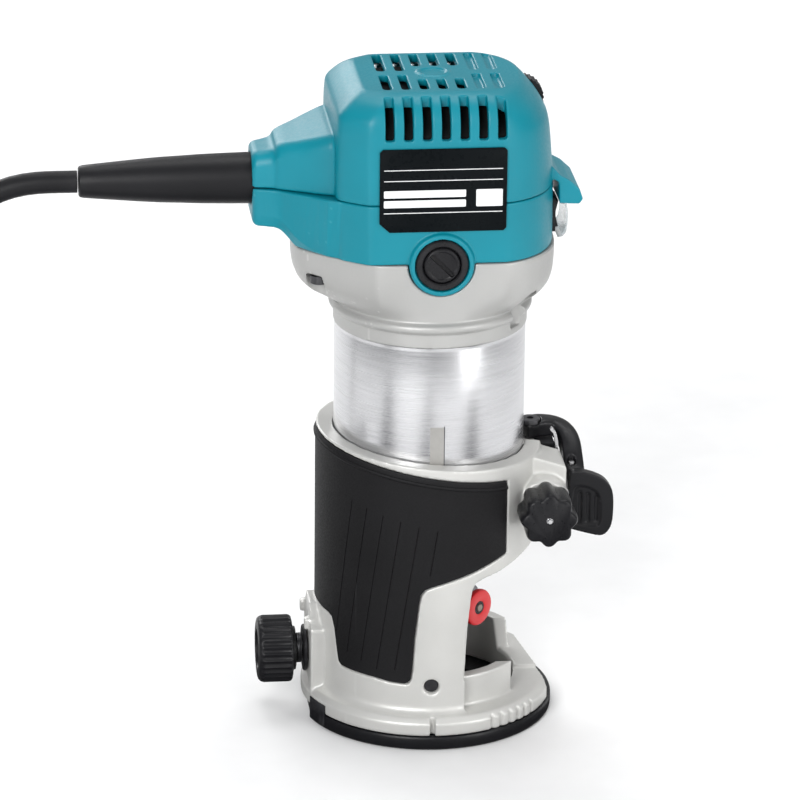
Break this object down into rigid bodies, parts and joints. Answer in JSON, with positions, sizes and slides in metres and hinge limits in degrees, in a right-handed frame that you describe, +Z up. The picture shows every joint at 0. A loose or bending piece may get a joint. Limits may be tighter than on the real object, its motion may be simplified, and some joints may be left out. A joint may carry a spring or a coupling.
{
  "type": "trim router",
  "caption": "Compact trim router: a motor unit with a vented cover sliding in a clamping base with a side window, on a mains cord.",
  "frame": {"origin": "centre of the bottom face of the bounding box, measured without the cord, its coil and its plug; the spindle axis is at x = 0.0272 m, y = 0", "axes": "+Z up along the spindle, +X towards the window, clamp and switch, -X towards the cord, -Y towards the name plate"},
  "size_m": [0.3614, 0.1141, 0.228],
  "materials": {
    "teal_plastic": "moulded, fine texture",
    "silver_paint": "sprayed, fine grain",
    "machined_aluminium": "turned cylinder with painted flange",
    "black_plastic": "moulded",
    "black_rubber": "matt",
    "cord_rubber": "smooth sheath",
    "red_plastic": "moulded",
    "clear_plastic": "clear",
    "steel": "turned",
    "dark_steel": "black oxide",
    "laminations": "stacked sheet",
    "copper": "enamelled wire and bars",
    "carbon": "pressed carbon",
    "green_board": "circuit board",
    "label": "printed plate"
  },
  "bodies": {
    "base": {"base_casting": "silver_paint", "rubber_grip": "black_rubber", "base_plate": "black_plastic", "clamp_bolt": "dark_steel", "clamp_nut": "dark_steel", "lever_pivot_screw": "dark_steel", "cord_tube": "cord_rubber", "cord_tail": "cord_rubber", "cord_coil": "cord_rubber", "plug": "black_plastic", "plate_screw_1": "steel", "plate_screw_2": "steel", "plate_screw_3": "steel", "plate_screw_4": "steel"},
    "motor": {"top_cover": "teal_plastic", "motor_housing": "teal_plastic", "motor_body": "machined_aluminium", "name_plate": "label", "spindle_nose": "dark_steel", "bearing_lower": "steel", "bearing_upper": "steel", "field_core": "laminations", "field_winding_lower": "copper", "field_winding_upper": "copper", "brush_holder_near": "black_plastic", "brush_holder_far": "black_plastic", "brush_near": "carbon", "brush_far": "carbon", "control_board": "green_board", "switch_body": "black_plastic", "switch_cover": "clear_plastic", "cord_guard": "black_rubber", "rack": "steel", "housing_screw_1": "dark_steel", "housing_screw_2": "dark_steel", "housing_screw_3": "dark_steel", "housing_screw_4": "dark_steel"},
    "rotor": {"spindle": "steel", "fan": "black_plastic", "armature_core": "laminations", "armature_winding_lower": "copper", "armature_winding_upper": "copper", "commutator": "copper"},
    "collet": {"collet": "steel"},
    "collet_nut": {"collet_nut": "dark_steel"},
    "lock": {"lock_button": "red_plastic", "lock_pin": "steel"},
    "rocker": {"switch_rocker": "black_plastic"},
    "dial": {"speed_dial": "black_plastic"},
    "cap_near": {"brush_cap_near": "black_plastic"},
    "cap_far": {"brush_cap_far": "black_plastic"},
    "height_knob": {"height_knob": "black_plastic", "pinion_shaft": "steel"},
    "lever": {"clamp_lever": "black_plastic", "lever_pin": "steel", "clamp_link": "steel"},
    "guide_washer": {"guide_washer": "black_plastic", "guide_spring": "dark_steel"},
    "guide_knob": {"guide_knob": "black_plastic", "guide_screw": "dark_steel"}
  },
  "joints": [
    {"name": "height_slide", "type": "slide", "parent": "base", "child": "motor", "axis": [0, 0, 1], "range_m": [-0.021, 0.012]},
    {"name": "height_knob_turn", "type": "hinge", "parent": "base", "child": "height_knob", "pos_m": [0.0642, -0.02, 0.0813], "axis": [0, 1, 0], "range_deg": [-230, 132]},
    {"name": "clamp_lever_turn", "type": "hinge", "parent": "base", "child": "lever", "pos_m": [0.0637, 0.01, 0.096], "axis": [0, 0, 1], "range_deg": [0, 65]},
    {"name": "guide_washer_slide", "type": "slide", "parent": "base", "child": "guide_washer", "axis": [-1, 0, 0], "range_m": [0, 0.0032]},
    {"name": "guide_knob_turn", "type": "hinge", "parent": "guide_washer", "child": "guide_knob", "pos_m": [-0.0248, 0, 0.021], "axis": [-1, 0, 0], "range_deg": [0, 1440]},
    {"name": "spindle_spin", "type": "hinge", "parent": "motor", "child": "rotor", "pos_m": [0.0272, 0, 0.1], "axis": [0, 0, 1], "continuous": true},
    {"name": "collet_slide", "type": "slide", "parent": "rotor", "child": "collet", "axis": [0, 0, -1], "range_m": [0, 0.0025]},
    {"name": "collet_nut_turn", "type": "hinge", "parent": "collet", "child": "collet_nut", "pos_m": [0.0272, 0, 0.028], "axis": [0, 0, 1], "range_deg": [0, 720]},
    {"name": "lock_push", "type": "slide", "parent": "motor", "child": "lock", "axis": [-0.682, 0.7314, 0], "range_m": [0, 0.0026], "stiffness_N_per_m": 300, "springref_m": -0.002},
    {"name": "switch_rock", "type": "hinge", "parent": "motor", "child": "rocker", "pos_m": [0.066, 0, 0.179], "axis": [0, 1, 0], "range_deg": [-8, 8]},
    {"name": "speed_dial_turn", "type": "hinge", "parent": "motor", "child": "dial", "pos_m": [0.0582, 0.0083, 0.2165], "axis": [0, 1, 0], "range_deg": [-150, 150]},
    {"name": "brush_cap_near_turn", "type": "hinge", "parent": "motor", "child": "cap_near", "pos_m": [0.0272, -0.0336, 0.1712], "axis": [0, -1, 0], "range_deg": [0, 720]},
    {"name": "brush_cap_far_turn", "type": "hinge", "parent": "motor", "child": "cap_far", "pos_m": [0.0272, 0.0336, 0.1712], "axis": [0, 1, 0], "range_deg": [0, 720]}
  ],
  "couplings": [
    {"joint": "height_knob_turn", "follows": "height_slide", "rad_per_m": 190.48},
    {"joint": "guide_knob_turn", "follows": "guide_washer_slide", "rad_per_m": 7854},
    {"joint": "collet_nut_turn", "follows": "collet_slide", "rad_per_m": 5026.5}
  ]
}
